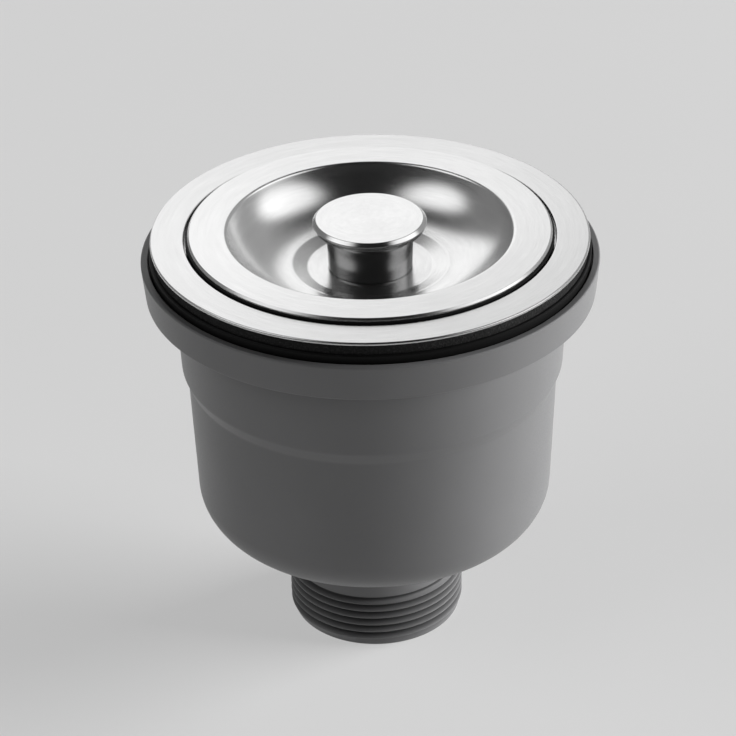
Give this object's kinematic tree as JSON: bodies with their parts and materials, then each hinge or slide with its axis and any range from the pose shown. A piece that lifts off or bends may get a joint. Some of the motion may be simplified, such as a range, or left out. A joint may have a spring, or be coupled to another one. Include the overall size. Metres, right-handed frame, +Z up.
{
  "type": "basket strainer waste",
  "caption": "Round sink basket strainer waste: stainless flange with a lift-out lid and knob, foam and rubber gaskets, and a grey moulded cup with a threaded outlet.",
  "frame": {"origin": "centre of the outlet's lower end, on the floor that the waste stands on", "axes": "+Z up along the waste's axis, from the outlet to the lid"},
  "size_m": [0.1193, 0.1192, 0.12],
  "materials": {
    "grey_plastic": "mid-grey moulded polypropylene with a fine matte skin",
    "black_rubber": "smooth black rubber",
    "grey_foam": "dark closed-cell foam with an open, speckled cut edge",
    "brushed_stainless": "stainless steel brushed in circles round the axis",
    "plain_stainless": "plain drawn stainless steel"
  },
  "bodies": {
    "root": {"cup_body": "grey_plastic", "lower_gasket": "black_rubber", "upper_gasket": "grey_foam", "sink_flange": "brushed_stainless", "threaded_neck": "grey_plastic", "lid_dish": "brushed_stainless", "lid_seal": "black_rubber", "lid_knob": "brushed_stainless", "knob_washer": "plain_stainless", "knob_screw": "plain_stainless", "basket_cup": "plain_stainless", "basket_handle": "plain_stainless"}
  },
  "joints": []
}
